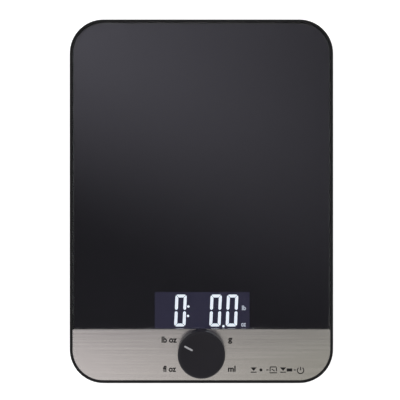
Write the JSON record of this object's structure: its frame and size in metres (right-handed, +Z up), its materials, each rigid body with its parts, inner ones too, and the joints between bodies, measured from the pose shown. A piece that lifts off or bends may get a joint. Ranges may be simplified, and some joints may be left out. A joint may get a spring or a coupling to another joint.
{
  "type": "kitchen scale",
  "caption": "Flat digital kitchen scale: dark glass weighing platform with a built-in display, brushed steel control strip and a push-and-turn knob that selects the unit.",
  "frame": {"origin": "centre of the footprint, on the table under the feet", "axes": "+Z up, +X to the user's right, +Y away from the user along the length; knob and display at -Y"},
  "size_m": [0.1666, 0.23, 0.0335],
  "materials": {
    "tinted_glass": "polished",
    "black_print": "satin",
    "foam_tape": "matte",
    "brushed_stainless": "satin",
    "black_abs": "satin",
    "zinc_plated_screw": "satin",
    "battery_wrap": "gloss",
    "nickel_plate": "gloss",
    "red_insulation": "satin",
    "black_insulation": "satin",
    "grey_insulation": "satin",
    "green_board": "satin",
    "black_epoxy": "gloss",
    "white_plastic": "satin",
    "display_glass": "polished",
    "polarizing_film": "gloss",
    "diffusing_acrylic": "satin",
    "led_white": "gloss",
    "grey_silicone": "matte",
    "white_silicone": "gloss",
    "black_foam": "matte",
    "selector_plastic": "satin",
    "brass_pin": "satin",
    "zinc_alloy": "satin",
    "plated_steel": "gloss",
    "knob_black": "satin",
    "pointer_grey": "satin",
    "foot_plastic": "satin",
    "foot_rubber": "matte",
    "spring_steel": "satin"
  },
  "bodies": {
    "scale_body": {"glass_platform": "tinted_glass", "glass_backprint": "black_print", "glass_tape": "foam_tape", "fascia_tape": "foam_tape", "steel_fascia": "brushed_stainless", "upper_housing": "black_abs", "lower_housing": "black_abs", "housing_screws": "zinc_plated_screw", "pcb_screws": "zinc_plated_screw", "load_cell_screws": "zinc_plated_screw", "battery_front": "battery_wrap", "battery_rear": "battery_wrap", "contact_positive": "nickel_plate", "contact_negative": "nickel_plate", "contact_bridge": "nickel_plate", "spring_negative": "nickel_plate", "spring_bridge": "nickel_plate", "battery_lead_red": "red_insulation", "battery_lead_black": "black_insulation", "cell_wire_front_left": "grey_insulation", "cell_wire_front_right": "grey_insulation", "cell_wire_rear_left": "grey_insulation", "cell_wire_rear_right": "grey_insulation", "main_pcb": "green_board", "pcb_components": "black_epoxy", "lcd_frame": "white_plastic", "lcd_glass": "display_glass", "lcd_polarizers": "polarizing_film", "diffuser_film": "diffusing_acrylic", "light_guide": "diffusing_acrylic", "backlight_leds": "led_white", "zebra_strip": "grey_silicone", "strain_gauges": "white_silicone", "display_gasket": "black_foam", "selector_case": "selector_plastic", "selector_base": "selector_plastic", "selector_pins": "brass_pin", "selector_bushing": "zinc_alloy", "selector_washer": "plated_steel", "selector_nut": "plated_steel", "snap_dome": "plated_steel", "foot_cup_front_left": "foot_plastic", "foot_cup_front_right": "foot_plastic", "foot_cup_rear_left": "foot_plastic", "foot_cup_rear_right": "foot_plastic", "foot_pad_front_left": "foot_rubber", "foot_pad_front_right": "foot_rubber", "foot_pad_rear_left": "foot_rubber", "foot_pad_rear_right": "foot_rubber", "load_cell_front_left": "spring_steel", "load_cell_front_right": "spring_steel", "load_cell_rear_left": "spring_steel", "load_cell_rear_right": "spring_steel"},
    "press_plunger": {"switch_plunger": "selector_plastic"},
    "knob": {"knob_cap": "knob_black", "knob_indicator": "pointer_grey", "selector_shaft": "zinc_alloy"},
    "rotor": {"selector_rotor": "white_plastic"},
    "battery_door": {"battery_door": "black_abs"}
  },
  "joints": [
    {"name": "knob_press", "type": "slide", "parent": "scale_body", "child": "press_plunger", "axis": [0, 0, -1], "range_m": [0, 0.0004], "stiffness_N_per_m": 5000, "deforming": ["snap_dome"]},
    {"name": "knob_turn", "type": "hinge", "parent": "press_plunger", "child": "knob", "pos_m": [0, -0.09535, 0.021], "axis": [0, 0, 1], "range_deg": [-180, 56]},
    {"name": "rotor_turn", "type": "hinge", "parent": "scale_body", "child": "rotor", "pos_m": [0, -0.09535, 0.0125], "axis": [0, 0, 1], "range_deg": [-180, 56]},
    {"name": "battery_door_hinge", "type": "hinge", "parent": "scale_body", "child": "battery_door", "pos_m": [0, 0.014, 0.004], "axis": [1, 0, 0], "range_deg": [0, 85]}
  ],
  "couplings": [
    {"joint": "rotor_turn", "follows": "knob_turn", "ratio": 1}
  ]
}
